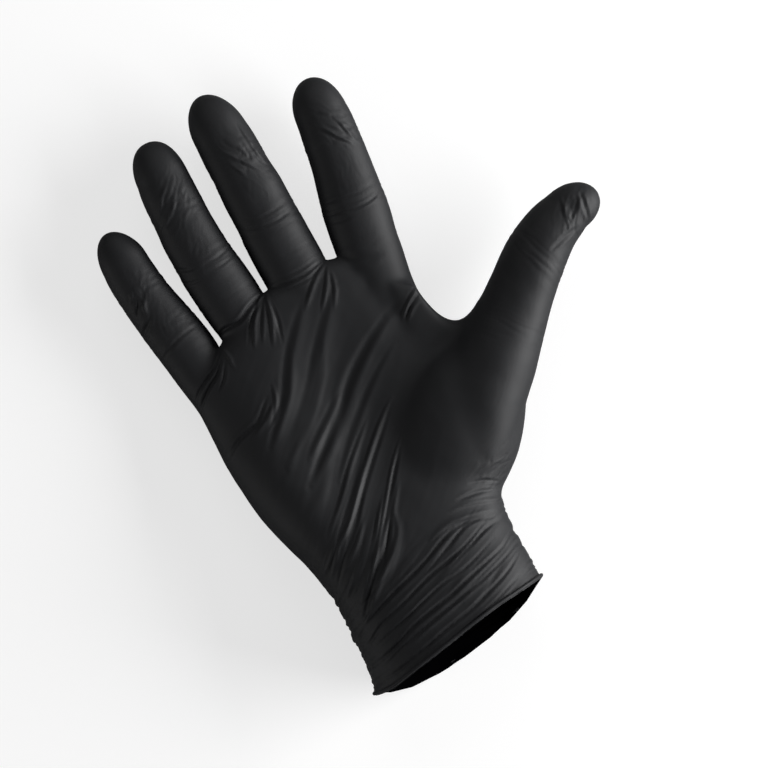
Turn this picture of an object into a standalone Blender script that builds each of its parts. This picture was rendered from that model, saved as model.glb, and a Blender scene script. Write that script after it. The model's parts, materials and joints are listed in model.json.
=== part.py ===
"""Disposable nitrile glove for the right hand, in its worn shape, lying on its back with the palm up.

The glove is one dipped film, so every piece here is a zone of that film. A zone that stays stiff over a finger bone is
a rigid shell, and a zone over a knuckle is a fold that deforms. The cuff ends in a rolled bead.

Lengths are in millimetres in this file, in a hand frame: the origin is on the table under the wrist crease, +X points
to the thumb's side, +Y to the fingertips and +Z up out of the palm. At the end everything hangs from one empty that
puts the origin under the middle of the glove's bounding box. Blender gets metres.
"""

import math

import bmesh
import bpy
from mathutils import Matrix, Vector

MM = 0.001

# Driving dimensions
FILM = 0.15  # wall of the dipped film
GAP = 0.3  # clear distance kept between two zones
SIDES = 12  # facets round a finger
BEAD_RADIUS = 1.1  # rolled rim of the cuff
FORM_VOXEL = 1.5
SLIVER = 0.05  # edges shorter than this go after a cut
FORM_KEPT = 0.022  # share of the form's faces that the decimation keeps
SIDE_SEAM_Z = 15.0  # height at which the palm's face and the back of the hand part

# How far each kind of knuckle bends, in degrees: (straighter than at rest, fully bent)
ROOT_RANGE = (-15.0, 60.0)
MIDDLE_RANGE = (-5.0, 75.0)
END_SHARE = 0.6  # the end knuckle turns with the middle one by this share
THUMB_ROOT_RANGE = (-10.0, 50.0)
THUMB_END_RANGE = (-10.0, 65.0)
WRIST_RANGE = (-40.0, 45.0)
NOTCH_ROOM = 1.0  # clear distance left on the pad's side when a knuckle is fully bent, before the slope of the cut
BACK_GAP = 2.2  # half of a fold's width on the back of a finger

# Each digit runs through `points`: inside the palm, root knuckle, middle knuckle, end knuckle and tip. The thumb has no
# middle knuckle. `sizes` are the half width, palmar half and dorsal half of the section at each point and, last, where
# the tip starts to round off. `slant` tilts the root's cut to follow the webs: its rise per unit of half width.
# `facing` is where the pad of the digit faces.
DIGITS = {
    "index": {
        "points": [(30, 84, 13.5), (34.2, 116, 14), (37.2, 133, 15.5), (41, 156.5, 17), (43.8, 182.5, 17.5)],
        "sizes": [(12.0, 12.5, 12.0), (13.0, 11.5, 11.5), (12.6, 10.6, 10.6), (11.3, 9.8, 9.6), (10.3, 8.8, 8.2)],
        "slant": -0.55,
        "facing": (0.0, 0.0, 1.0),
    },
    "middle": {
        "points": [(4.6, 86, 14), (4.5, 124, 14), (4.3, 141, 16), (4.2, 165.5, 18), (3.0, 195.6, 18.5)],
        "sizes": [(12.0, 12.5, 12.0), (12.9, 11.6, 11.6), (12.4, 10.8, 10.7), (11.6, 10.0, 9.7), (10.8, 9.0, 8.4)],
        "slant": 0.0,
        "facing": (0.0, 0.0, 1.0),
    },
    "ring": {
        "points": [(-22, 82, 13.5), (-23.4, 119.5, 14), (-24.7, 137.5, 15.5), (-25.2, 160.5, 17), (-23.6, 189.6, 17.5)],
        "sizes": [(12.0, 12.2, 11.8), (12.5, 11.2, 11.2), (11.9, 10.4, 10.3), (10.9, 9.6, 9.3), (10.2, 8.7, 8.1)],
        "slant": 0.34,
        "facing": (0.0, 0.0, 1.0),
    },
    "little": {
        "points": [(-43, 72, 13.5), (-46.2, 106.5, 13), (-48.8, 121.5, 14), (-51.6, 139.5, 15), (-54, 165.7, 15.5)],
        "sizes": [(11.6, 11.6, 11.0), (11.5, 10.2, 10.0), (10.9, 9.4, 9.2), (10.0, 8.6, 8.3), (9.6, 7.9, 7.3)],
        "slant": 0.46,
        "facing": (0.0, 0.0, 1.0),
    },
    "thumb": {
        "points": [(20, 12, 20), (66.5, 60, 23), (89.5, 79.5, 23), (122, 90.5, 23)],
        "sizes": [(17.0, 17.0, 17.0), (15.4, 14.0, 13.5), (12.4, 11.0, 10.6), (9.6, 8.8, 8.2)],
        "slant": 0.0,
        "facing": (-0.32, 0.36, 0.88),
    },
}
TIP_ROUNDING = 1.25  # length of the rounded tip, in half widths
TIP_FULLNESS = 2.3  # exponent of the tip's outline: 2 is an ellipse, more is blunter

# The hand's body, from the cuff to the knuckle line: (y, left x, right x, lowest z, highest z)
PALM_ROWS = [
    (-58, -43.5, 33.5, 1.4, 49.0),
    (-30, -42.6, 32.8, 1.4, 47.5),
    (-10, -41.6, 31.8, 1.4, 44.0),
    (2, -42.2, 32.8, 0.4, 42.5),
    (14, -45.0, 34.5, -1.2, 42.0),
    (30, -50.6, 36.5, -2.0, 39.0),
    (50, -54.2, 39.0, -2.2, 35.0),
    (70, -55.2, 41.5, -2.0, 31.5),
    (90, -55.4, 43.2, -1.0, 28.5),
]
KNUCKLE_ROWS = [(0.55, 1.0, 26.5), (0.85, 2.8, 24.0), (1.0, 6.0, 20.5)]  # share of the way there, lowest z, highest z
KNUCKLE_LINE = [(-57, 93), (-46, 99), (-34, 107), (-22, 113), (-10, 117.5), (5, 118.5), (19.5, 117), (32, 112), (46, 100)]
SECTION_FULLNESS = 2.5  # exponent of the palm's section
HOLLOW = {"centre": (-6, 62), "radius": (26, 38), "depth": 4.5}  # the cupped middle of the palm

# Outline of the web between thumb and index finger, inside the form except for its free edge
WEB_OUTLINE = [(34, 96), (42.6, 91), (44.0, 82), (46.8, 75.5), (51.6, 71.2), (57.5, 71.4), (64, 75.5), (62, 50), (44, 42), (32, 60)]
WEB_Z = 20.5
WEB_HALF = 5.0
WEB_ROUND = 3.5

WEB_ROOM = 0.08  # share by which a digit's solid narrows past its root, so that the webs stay open

WRIST = (-5.0, 0.0, 23.0)  # the wrist's axis runs through here, along X
RIM_POINT = (-5.5, -38.0, 24.0)  # middle of the cuff's opening
RIM_NORMAL = (0.14, -0.96, 0.25)  # the way the opening faces

RUBBER = (0.012, 0.013, 0.016, 1.0)
RUBBER_ROUGHNESS = 0.45


def unit(values):
    return Vector(values).normalized()


def clear_scene():
    for obj in list(bpy.data.objects):
        bpy.data.objects.remove(obj)


def nitrile():
    material = bpy.data.materials.new("black_nitrile")
    material.use_nodes = True
    shader = material.node_tree.nodes["Principled BSDF"]
    shader.inputs["Base Color"].default_value = RUBBER
    shader.inputs["Roughness"].default_value = RUBBER_ROUGHNESS
    shader.inputs["Metallic"].default_value = 0.0
    return material


def collection(name):
    made = bpy.data.collections.new(name)
    bpy.context.scene.collection.children.link(made)
    return made


def add_object(name, mesh, where):
    obj = bpy.data.objects.new(name, mesh)
    where.objects.link(obj)
    return obj


def mesh_of_rings(name, rings, close_start=None, close_end=None):
    """A skin over rings of points, in millimetres. An end closes on a point, or stays open."""
    bm = bmesh.new()
    rows = [[bm.verts.new(Vector(p) * MM) for p in ring] for ring in rings]
    count = len(rings[0])
    for low, high in zip(rows, rows[1:]):
        for i in range(count):
            j = (i + 1) % count
            bm.faces.new((low[i], low[j], high[j], high[i]))
    for point, row, turn in ((close_start, rows[0], -1), (close_end, rows[-1], 1)):
        if point is None:
            continue
        pole = bm.verts.new(Vector(point) * MM)
        for i in range(count):
            j = (i + 1) % count
            bm.faces.new((row[i], row[j], pole)[::turn])
    bmesh.ops.recalc_face_normals(bm, faces=bm.faces)
    mesh = bpy.data.meshes.new(name)
    bm.to_mesh(mesh)
    bm.free()
    return mesh


# ---- digits -----------------------------------------------------------------------------------------------------------


class Digit:
    """A finger or the thumb as a surface: point(s, turn) for a distance s along its bones and an angle round them."""

    def __init__(self, name):
        spec = DIGITS[name]
        self.name = name
        self.points = [Vector(p) for p in spec["points"]]
        self.slant = spec["slant"]
        self.facing = unit(spec["facing"])
        thumb = name == "thumb"
        self.labels = ["root", "end"] if thumb else ["root", "middle", "end"]
        self.rigid = ["proximal", "tip"] if thumb else ["proximal", "middle", "tip"]
        self.marks = [0.0]
        for a, b in zip(self.points, self.points[1:]):
            self.marks.append(self.marks[-1] + (b - a).length)
        self.length = self.marks[-1]
        tip_half = spec["sizes"][-1][0]
        self.round_from = self.length - TIP_ROUNDING * tip_half
        self.keys = list(zip(self.marks[:-1] + [self.round_from], spec["sizes"]))

    @property
    def knuckles(self):
        """Distance along the bones and position of each knuckle."""
        return list(zip(self.marks, self.points))[1:-1]

    def centre(self, s):
        for i, (a, b) in enumerate(zip(self.marks, self.marks[1:])):
            if s <= b or i == len(self.marks) - 2:
                share = (s - a) / (b - a)
                return self.points[i].lerp(self.points[i + 1], share)
        return self.points[-1]

    def tangent(self, s):
        """Direction of the bones, turned smoothly through each knuckle."""
        reach = 5.0
        ahead = self.centre(min(s + reach, self.length))
        behind = self.centre(s - reach)
        return (ahead - behind).normalized()

    def frame(self, s):
        """(along, side, pad): side points to +X on a finger, pad out of the palm."""
        along = self.tangent(s)
        side = along.cross(self.facing).normalized()
        return along, side, side.cross(along)

    def sizes(self, s):
        """Half width, palmar half and dorsal half of the section at s."""
        keys = self.keys
        s_key = min(max(s, keys[0][0]), keys[-1][0])
        for (a, low), (b, high) in zip(keys, keys[1:]):
            if s_key <= b:
                t = (s_key - a) / (b - a)
                t = t * t * (3 - 2 * t)
                found = [x + (y - x) * t for x, y in zip(low, high)]
                break
        if s > self.round_from:
            share = min((s - self.round_from) / (self.length - self.round_from), 1.0)
            shrink = (1 - share**TIP_FULLNESS) ** (1 / TIP_FULLNESS)
            found = [x * shrink for x in found]
        return found

    def point(self, s, turn, grow=1.0):
        _, side, pad = self.frame(s)
        width, palmar, dorsal = self.sizes(s)
        height = palmar if math.sin(turn) > 0 else dorsal
        return self.centre(s) + grow * (width * math.cos(turn) * side + height * math.sin(turn) * pad)


def turns(count):
    return [2 * math.pi * i / count for i in range(count)]


def notch(digit, knuckle, side, bend, slant):
    """Where a zone stops beside a knuckle, as a function of the angle round the digit.

    side is -1 before the knuckle and 1 after it. On the back of the digit the fold is narrow. On the pad's side its
    edges lean apart, so that the two rigid zones meet only when the knuckle is fully bent.
    """
    s, _ = digit.knuckles[knuckle]
    palmar = digit.sizes(s)[1]
    width = digit.sizes(s)[0]
    room = palmar * math.tan(math.radians(bend) / 2) + NOTCH_ROOM

    def edge(turn):
        lean = max(0.0, math.sin(turn)) * max(room - BACK_GAP, 0.0)
        return s + side * (BACK_GAP + lean) + slant * width * math.cos(turn)

    return edge


def bends(digit):
    """How far each knuckle of the digit bends towards the palm."""
    if digit.name == "thumb":
        return [THUMB_ROOT_RANGE[1], THUMB_END_RANGE[1]]
    return [ROOT_RANGE[1], MIDDLE_RANGE[1], MIDDLE_RANGE[1] * END_SHARE]


def zone_edges(digit):
    """Pairs of edges, one before and one after each knuckle."""
    found = []
    for i, bend in enumerate(bends(digit)):
        slant = digit.slant if i == 0 else 0.0
        after_slant = 0.5 * slant
        found.append((notch(digit, i, -1, bend, slant), notch(digit, i, 1, bend, after_slant)))
    return found


def tube_mesh(digit, name, start, end, rows, closed_tip=False):
    """The film between two edges of a digit as an open surface."""
    rings = []
    for row in range(rows + 1):
        share = row / rows
        ring = []
        for turn in turns(SIDES):
            low = start(turn) + GAP / 2
            high = digit.length if closed_tip else end(turn) - GAP / 2
            if closed_tip:
                share_here = math.sin(share * math.pi / 2) * 0.985
            else:
                share_here = share
            ring.append(digit.point(low + (high - low) * share_here, turn))
        rings.append(ring)
    tip = digit.centre(digit.length) if closed_tip else None
    return mesh_of_rings(name, rings, close_end=tip)


def add_film(obj, material):
    """Gives an open surface the film's wall, inwards."""
    obj.data.materials.append(material)
    wall = obj.modifiers.new("film", "SOLIDIFY")
    wall.thickness = FILM * MM
    wall.offset = -1.0
    wall.use_even_offset = False
    obj.data.shade_smooth()


def digit_zones(digit, where, material):
    """The digit's zones, from its root to its tip: folds over the knuckles and rigid shells between them."""
    edges = zone_edges(digit)
    for i, (before, after) in enumerate(edges):
        name = f"{digit.name}_{digit.labels[i]}_fold"
        obj = add_object(name, tube_mesh(digit, name, before, after, 2), where)
        add_film(obj, material)
        name = f"{digit.name}_{digit.rigid[i]}"
        last = i == len(edges) - 1
        ending = None if last else edges[i + 1][0]
        obj = add_object(name, tube_mesh(digit, name, after, ending, 4 if last else 2, closed_tip=last), where)
        add_film(obj, material)


# ---- the hand's body ----------------------------------------------------------------------------------------------------


def knuckle_y(x):
    """The y of the knuckle line, where the fingers leave the palm, at x."""
    line = KNUCKLE_LINE
    x = min(max(x, line[0][0]), line[-1][0])
    for (xa, ya), (xb, yb) in zip(line, line[1:]):
        if x <= xb:
            return ya + (yb - ya) * (x - xa) / (xb - xa)
    return line[-1][1]


def palm_ring(y, left, right, low, high, towards=0.0):
    """One section of the palm, moved by the share `towards` from its own y to the knuckle line."""
    ring = []
    for turn in turns(36):
        power = 2 / SECTION_FULLNESS
        c, s = math.cos(turn), math.sin(turn)
        x = (left + right) / 2 + (right - left) / 2 * math.copysign(abs(c) ** power, c)
        z = (low + high) / 2 + (high - low) / 2 * math.copysign(abs(s) ** power, s)
        here = y + towards * (knuckle_y(x) - y)
        if s > 0:
            (cx, cy), (rx, ry) = HOLLOW["centre"], HOLLOW["radius"]
            z -= HOLLOW["depth"] * math.exp(-(((x - cx) / rx) ** 2) - ((here - cy) / ry) ** 2)
        ring.append((x, here, z))
    return ring


def body_solid(where):
    """The palm and cuff as one closed solid, up to the webs between the fingers."""
    rings = [palm_ring(*row) for row in PALM_ROWS]
    y, left, right = PALM_ROWS[-1][:3]
    for share, low, high in KNUCKLE_ROWS:
        rings.append(palm_ring(y, left, right, low, high, share))
    middle = [sum(c) / len(rings[0]) for c in zip(*rings[0])]
    far = rings[-1]
    count = len(far)
    flat_end = [((Vector(far[i]) + Vector(far[-i % count])) / 2) for i in range(count)]
    rings.append([Vector(p).lerp(q, 0.97) for p, q in zip(far, flat_end)])
    end = [sum(c) / count for c in zip(*rings[-1])]
    return add_object("body_solid", mesh_of_rings("body_solid", rings, middle, end), where)


def digit_solid(digit, where):
    """The digit from inside the palm to past its first zones, closed."""
    reach = digit.knuckles[0][0] + 24
    steps = 16
    rings = []
    for i in range(steps + 1):
        grow = 1.0 - WEB_ROOM * i / steps
        rings.append([digit.point(reach * i / steps, turn, grow) for turn in turns(24)])
    return add_object(
        f"{digit.name}_solid",
        mesh_of_rings(digit.name, rings, digit.centre(0), digit.centre(reach)),
        where,
    )


def web_solid(where):
    """The web between thumb and index finger: a flat outline with a round edge."""
    data = bpy.data.curves.new("web", "CURVE")
    data.dimensions = "2D"
    data.fill_mode = "BOTH"
    data.extrude = (WEB_HALF - WEB_ROUND) * MM
    data.bevel_depth = WEB_ROUND * MM
    data.bevel_resolution = 3
    data.offset = -WEB_ROUND * MM
    spline = data.splines.new("POLY")
    spline.points.add(len(WEB_OUTLINE) - 1)
    for point, (x, y) in zip(spline.points, WEB_OUTLINE):
        point.co = (x * MM, y * MM, 0, 1)
    spline.use_cyclic_u = True
    curve = add_object("web_curve", data, where)
    curve.location.z = WEB_Z * MM
    bpy.context.view_layer.update()
    graph = bpy.context.evaluated_depsgraph_get()
    mesh = bpy.data.meshes.new_from_object(curve.evaluated_get(graph))
    bm = bmesh.new()
    bm.from_mesh(mesh)
    bmesh.ops.remove_doubles(bm, verts=bm.verts, dist=1e-6)
    bmesh.ops.translate(bm, verts=bm.verts, vec=(0, 0, WEB_Z * MM))
    bm.to_mesh(mesh)
    bm.free()
    bpy.data.objects.remove(curve)
    return add_object("web_solid", mesh, where)


def baked(obj, name, where):
    """A copy of the object with its modifiers made part of its mesh."""
    bpy.context.view_layer.update()
    graph = bpy.context.evaluated_depsgraph_get()
    mesh = bpy.data.meshes.new_from_object(obj.evaluated_get(graph))
    mesh.name = name
    made = add_object(name, mesh, where)
    made.matrix_world = obj.matrix_world
    return made


def helper(obj):
    obj.hide_render = True
    obj.display_type = "WIRE"
    return obj


def joined(objects, name, where):
    """All the objects' meshes in one object."""
    bm = bmesh.new()
    for obj in objects:
        bm.from_mesh(obj.data)
        bpy.data.objects.remove(obj)
    mesh = bpy.data.meshes.new(name)
    bm.to_mesh(mesh)
    bm.free()
    return add_object(name, mesh, where)


def hand_form(digits, helpers):
    """The worn glove's outer form as one closed solid, from the cuff to past the first knuckles."""
    solids = [body_solid(helpers), web_solid(helpers)] + [digit_solid(d, helpers) for d in digits]
    rough = joined(solids, "form_solids", helpers)
    remesh = rough.modifiers.new("one_skin", "REMESH")
    remesh.mode = "VOXEL"
    remesh.voxel_size = FORM_VOXEL * MM
    smooth = rough.modifiers.new("even", "SMOOTH")
    smooth.factor = 0.5
    smooth.iterations = 5
    fewer = rough.modifiers.new("fewer", "DECIMATE")
    fewer.ratio = FORM_KEPT
    form = baked(rough, "form", helpers)
    bpy.data.objects.remove(rough)
    bm = bmesh.new()
    bm.from_mesh(form.data)
    for vert in bm.verts:
        vert.co.z = max(vert.co.z, 0.0)
    for face in bm.faces:
        face.material_index = 0
    bmesh.ops.recalc_face_normals(bm, faces=bm.faces)
    bm.to_mesh(form.data)
    bm.free()
    return helper(form)


def box_cutter(name, low, high, helpers):
    bm = bmesh.new()
    bmesh.ops.create_cube(bm, size=1.0)
    size = [(b - a) * MM for a, b in zip(low, high)]
    middle = [(b + a) / 2 * MM for a, b in zip(low, high)]
    bmesh.ops.scale(bm, vec=size, verts=bm.verts)
    bmesh.ops.translate(bm, vec=middle, verts=bm.verts)
    mesh = bpy.data.meshes.new(name)
    bm.to_mesh(mesh)
    bm.free()
    return helper(add_object(name, mesh, helpers))


def digit_cutter(digit, helpers):
    """Everything of a digit past the edge of its root fold, by straight lines out from the bone through that edge."""
    edge = zone_edges(digit)[0][0]
    far = digit.knuckles[0][0] + 26
    rings = []
    for grow, at_edge in ((0.75, True), (1.3, True), (1.3, False), (0.75, False)):
        corners = [digit.point(edge(t) - GAP / 2 if at_edge else far, t, grow) for t in turns(SIDES)]
        rings.append(with_points_between(corners, 2))
    centre = digit.centre(digit.knuckles[0][0] - BACK_GAP)
    mesh = mesh_of_rings(f"{digit.name}_cutter", rings, centre, digit.centre(far))
    return helper(add_object(f"{digit.name}_cutter", mesh, helpers))


def with_points_between(ring, parts):
    """The ring with each of its sides cut into equal parts."""
    found = []
    for a, b in zip(ring, ring[1:] + ring[:1]):
        found += [a.lerp(b, i / parts) for i in range(parts)]
    return found


def rim_cutter(helpers):
    """Everything past the cuff's slanted rim."""
    cutter = box_cutter("rim_cutter", (-90, -90, 0), (90, 90, 80), helpers)
    turn = Vector((0, 0, 1)).rotation_difference(unit(RIM_NORMAL)).to_matrix().to_4x4()
    cutter.data.transform(Matrix.Translation(Vector(RIM_POINT) * MM) @ turn)
    return cutter


def boolean(obj, other, operation, cut_face):
    """Cuts obj with other, and marks the faces that the cut makes with their own material."""
    if not other.data.materials:
        other.data.materials.append(cut_face)
    cut = obj.modifiers.new(other.name, "BOOLEAN")
    cut.operation = operation
    cut.object = other
    cut.solver = "MANIFOLD"
    cut.material_mode = "TRANSFER"


def wrist_half_gap():
    """Half the wrist fold's width, so that the shells meet only when the wrist is fully bent."""
    rows = {y: (low, high) for y, _, _, low, high in PALM_ROWS}
    low, high = rows[2]
    half = (high - low) / 2
    return half * math.tan(math.radians(max(map(abs, WRIST_RANGE))) / 2) + 0.5


def body_zones(form, digits, where, helpers, material):
    """Cuts the palm's face, the back of the hand, the wrist's fold and the cuff out of the form, as film."""
    reach = wrist_half_gap()
    y = WRIST[1]
    slabs = {
        "palm_face": ((-150, y + reach + GAP / 2, SIDE_SEAM_Z + GAP / 2), (150, 250, 90)),
        "hand_back": ((-150, y + reach + GAP / 2, -20), (150, 250, SIDE_SEAM_Z - GAP / 2)),
        "wrist_fold": ((-150, y - reach + GAP / 2, -20), (150, y + reach - GAP / 2, 90)),
        "cuff_sleeve": ((-150, -120, -20), (150, y - reach - GAP / 2, 90)),
    }
    cut_face = bpy.data.materials.new("cut_face")
    form.data.materials.append(material)
    for digit in digits:
        boolean(form, digit_cutter(digit, helpers), "DIFFERENCE", cut_face)
    boolean(form, rim_cutter(helpers), "DIFFERENCE", cut_face)
    body = helper(baked(form, "form_trimmed", helpers))
    bpy.data.objects.remove(form)
    for name, (low, high) in slabs.items():
        slab = box_cutter(f"{name}_slab", low, high, helpers)
        source = add_object(f"{name}_source", body.data.copy(), helpers)
        boolean(source, slab, "INTERSECT", cut_face)
        zone = baked(source, name, where)
        bpy.data.objects.remove(source)
        open_up(zone.data, cut_face)
        zone.data.materials.clear()
        add_film(zone, material)


def open_up(mesh, cut_face):
    """Takes away the faces that the cutters left, and the slivers along them."""
    index = mesh.materials.find(cut_face.name)
    bm = bmesh.new()
    bm.from_mesh(mesh)
    cut = [face for face in bm.faces if face.material_index == index]
    bmesh.ops.delete(bm, geom=cut, context="FACES")
    bmesh.ops.remove_doubles(bm, verts=bm.verts, dist=SLIVER * MM)
    bmesh.ops.dissolve_degenerate(bm, edges=bm.edges, dist=SLIVER * MM)
    bmesh.ops.triangulate(bm, faces=bm.faces)
    for face in bm.faces:
        face.material_index = 0
    bm.to_mesh(mesh)
    bm.free()


# ---- the rolled bead ------------------------------------------------------------------------------------------------------


def rim_loop():
    """Points round the cuff's opening: the last body section, carried on to the slanted rim's plane."""
    normal = unit(RIM_NORMAL)
    point = Vector(RIM_POINT)
    (y0, *near), (y1, *far) = PALM_ROWS[1], PALM_ROWS[0]
    loop = []
    low_ring = palm_ring(y0, *near)
    high_ring = palm_ring(y1, *far)
    for a, b in zip(low_ring, high_ring):
        a, b = Vector(a), Vector(b)
        t = (point - a).dot(normal) / (b - a).dot(normal)
        loop.append(a.lerp(b, t))
    return loop


def rolled_bead(where, material):
    """The film's edge, rolled up as the glove is stripped from its mould."""
    data = bpy.data.curves.new("rolled_bead", "CURVE")
    data.dimensions = "3D"
    data.bevel_depth = BEAD_RADIUS * MM
    data.bevel_resolution = 1
    loop = rim_loop()
    lift = unit(RIM_NORMAL) * (BEAD_RADIUS + GAP)
    spline = data.splines.new("POLY")
    spline.points.add(len(loop) - 1)
    for point, place in zip(spline.points, loop):
        where_to = (place + lift) * MM
        point.co = (*where_to, 1)
    spline.use_cyclic_u = True
    data.materials.append(material)
    return add_object("rolled_bead", data, where)


# ---- joints and placing -----------------------------------------------------------------------------------------------


def add_pivot(name, place, axis, parent):
    """An empty on a joint, with its own X along the joint's axis."""
    pivot = bpy.data.objects.new(name, None)
    bpy.context.scene.collection.objects.link(pivot)
    pivot.empty_display_size = 10 * MM
    turn = Vector((1, 0, 0)).rotation_difference(axis).to_matrix().to_4x4()
    hang(pivot, parent)
    pivot.matrix_world = Matrix.Translation(Vector(place) * MM) @ turn
    bpy.context.view_layer.update()
    return pivot


def hang(obj, parent):
    """Parents an object without moving it."""
    obj.parent = parent
    obj.matrix_parent_inverse = parent.matrix_world.inverted()


def hang_zones(zones, digits, anchor):
    """Hangs each zone from the joint that carries it. A fold hangs from the joint before it, as it spans its own."""
    carriers = {name: anchor for name in ("palm_face", "hand_back", "wrist_fold")}
    wrist = add_pivot("wrist_bend", WRIST, Vector((-1, 0, 0)), anchor)
    carriers["cuff_sleeve"] = wrist
    carriers["rolled_bead"] = wrist
    for digit in digits:
        carrier = anchor
        for label, rigid, (s, place) in zip(digit.labels, digit.rigid, digit.knuckles):
            carriers[f"{digit.name}_{label}_fold"] = carrier
            side = digit.frame(s)[1]
            carrier = add_pivot(f"{digit.name}_{label}_bend", place, side, carrier)
            carriers[f"{digit.name}_{rigid}"] = carrier
    for zone in zones.objects:
        hang(zone, carriers[zone.name])


def centre_on_table(objects, anchor):
    """Moves the anchor so that the world's origin is on the table under the middle of the glove."""
    bpy.context.view_layer.update()
    graph = bpy.context.evaluated_depsgraph_get()
    corners = []
    for obj in objects:
        done = obj.evaluated_get(graph)
        corners += [done.matrix_world @ Vector(c) for c in done.bound_box]
    low = [min(c[k] for c in corners) for k in range(3)]
    high = [max(c[k] for c in corners) for k in range(3)]
    anchor.location = (-(low[0] + high[0]) / 2, -(low[1] + high[1]) / 2, -low[2])
    bpy.context.view_layer.update()


def main():
    clear_scene()
    zones = collection("nitrile_glove")
    helpers = collection("helpers")
    material = nitrile()
    digits = [Digit(name) for name in DIGITS]
    form = hand_form(digits, helpers)
    body_zones(form, digits, zones, helpers, material)
    rolled_bead(zones, material)
    for digit in digits:
        digit_zones(digit, zones, material)
    anchor = bpy.data.objects.new("glove_anchor", None)
    bpy.context.scene.collection.objects.link(anchor)
    hang_zones(zones, digits, anchor)
    centre_on_table(list(zones.objects), anchor)


main()
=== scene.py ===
"""The looks of a black nitrile glove in its worn shape, lying palm up.

Shapes are built in millimetres in a hand frame, with its origin on the table under the wrist
crease, +X to the thumb's side, +Y to the fingertips and +Z up. The frame's wrist joint says where
that is. The glove is built as one skin, creased as one skin, and only then shared out to the
bodies that carry it.
"""

import json
import math

import bpy
import numpy as np
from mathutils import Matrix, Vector


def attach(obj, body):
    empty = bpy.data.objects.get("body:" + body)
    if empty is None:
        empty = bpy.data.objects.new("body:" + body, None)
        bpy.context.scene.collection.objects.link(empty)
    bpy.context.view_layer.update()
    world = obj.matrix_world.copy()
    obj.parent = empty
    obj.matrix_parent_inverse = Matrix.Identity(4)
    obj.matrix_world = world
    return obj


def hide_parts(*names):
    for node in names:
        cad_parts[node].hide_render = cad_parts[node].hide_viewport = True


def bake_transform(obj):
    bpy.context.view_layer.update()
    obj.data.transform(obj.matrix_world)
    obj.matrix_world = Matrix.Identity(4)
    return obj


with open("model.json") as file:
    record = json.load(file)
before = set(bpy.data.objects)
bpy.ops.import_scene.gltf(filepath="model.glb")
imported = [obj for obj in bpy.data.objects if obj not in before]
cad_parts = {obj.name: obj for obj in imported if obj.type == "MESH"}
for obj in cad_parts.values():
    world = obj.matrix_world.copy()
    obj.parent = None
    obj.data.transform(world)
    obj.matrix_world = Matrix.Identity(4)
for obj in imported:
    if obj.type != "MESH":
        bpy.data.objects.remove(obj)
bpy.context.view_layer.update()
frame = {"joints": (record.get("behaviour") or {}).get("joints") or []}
joints = {joint["name"]: joint for joint in frame["joints"]}

MM = 0.001
WRIST_MM = np.array([-5.0, 0.0, 23.0])  # the wrist joint in the hand frame
HAND = np.array(joints["wrist_bend"]["pos_m"]) - WRIST_MM * MM

# The picture's up and right in the hand frame, and the middle, width and distance of its view
VIEW_UP = (0.469, 0.883)
VIEW_RIGHT = (0.883, -0.469)
VIEW_MIDDLE = (14.3, 63.2)
VIEW_PLANE = 20  # the height at which the view is as wide as this
VIEW_WIDTH = 298.0
VIEW_HEIGHT = 1000.0
SENSOR = 36

SKIN_VOXEL = 0.62  # size of the skin's faces
SKIN_ROUNDS = 8  # how often the whole skin is evened out, and how much each time
SKIN_STRENGTH = 0.5
MEET_ROUNDS = 90  # how often it is where solids meet: by the web and the thumb, (middle, reach)
WEB_MEETS = ((46, 62), (20, 26))
THENAR_MEETS = ((26, 30), (22, 36))
FILM = 0.35  # film and lining together where both are seen

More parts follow.
